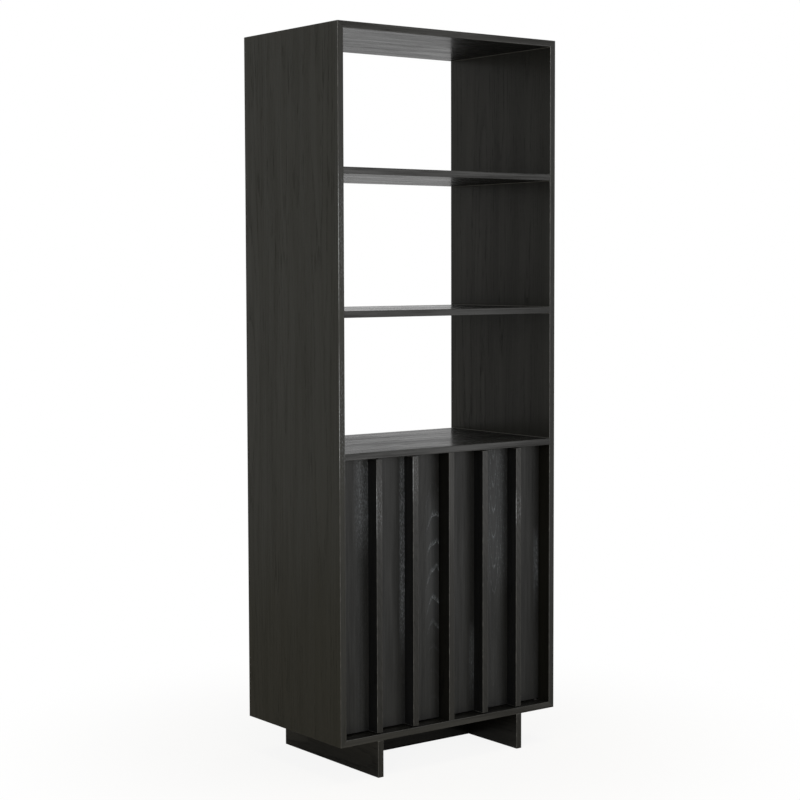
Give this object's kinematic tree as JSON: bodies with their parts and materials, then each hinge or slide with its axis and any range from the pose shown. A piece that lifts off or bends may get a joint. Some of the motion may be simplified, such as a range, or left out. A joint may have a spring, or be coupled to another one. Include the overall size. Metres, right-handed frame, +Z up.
{
  "type": "shelving cabinet",
  "caption": "Tall narrow shelving cabinet in black-stained oak: open-backed bays above a cupboard with inset hinged doors that carry upright fins, on an H-shaped base.",
  "frame": {"origin": "on the floor under the middle of the cabinet's footprint", "axes": "+Z up, +X to the right of someone facing the doors, -Y towards the front"},
  "size_m": [0.75, 0.448, 2],
  "materials": {
    "black_oak": "black-stained oak veneer, satin lacquer",
    "steel": "zinc-plated steel",
    "nylon": "moulded black nylon",
    "ferrite": "sintered ferrite",
    "brass": "turned brass",
    "beech": "plain beech",
    "birch_ply": "plain birch plywood"
  },
  "bodies": {
    "carcass": {"left_side": "black_oak", "right_side": "black_oak", "top_panel": "black_oak", "bottom_panel": "black_oak", "upper_shelf": "black_oak", "middle_shelf": "black_oak", "cupboard_top": "black_oak", "centre_partition": "black_oak", "back_panel": "black_oak", "corner_splines": "birch_ply", "shelf_dowels": "beech", "partition_dowels": "beech", "left_leg": "black_oak", "right_leg": "black_oak", "stretcher": "black_oak", "stretcher_dowels": "beech", "base_screws": "steel", "pivot_bushes": "nylon", "pivot_washers": "brass", "left_catch": "nylon", "right_catch": "nylon", "catch_magnets": "ferrite", "catch_screws": "steel", "left_inner_shelf": "black_oak", "right_inner_shelf": "black_oak", "shelf_pins": "steel"},
    "left_door": {"left_door_panel": "black_oak", "left_door_outer_fin": "black_oak", "left_door_inner_fin": "black_oak", "left_door_top_pivot": "steel", "left_door_bottom_pivot": "steel", "left_door_pivot_screws": "steel", "left_strike": "steel", "left_strike_screws": "steel"},
    "right_door": {"right_door_panel": "black_oak", "right_door_outer_fin": "black_oak", "right_door_inner_fin": "black_oak", "right_door_top_pivot": "steel", "right_door_bottom_pivot": "steel", "right_door_pivot_screws": "steel", "right_strike": "steel", "right_strike_screws": "steel"}
  },
  "joints": [
    {"name": "left_door_swing", "type": "hinge", "parent": "carcass", "child": "left_door", "pos_m": [-0.3465, -0.176, 0.489], "axis": [0, 0, -1], "range_deg": [0, 90]},
    {"name": "right_door_swing", "type": "hinge", "parent": "carcass", "child": "right_door", "pos_m": [0.3465, -0.176, 0.489], "axis": [0, 0, 1], "range_deg": [0, 90]}
  ]
}
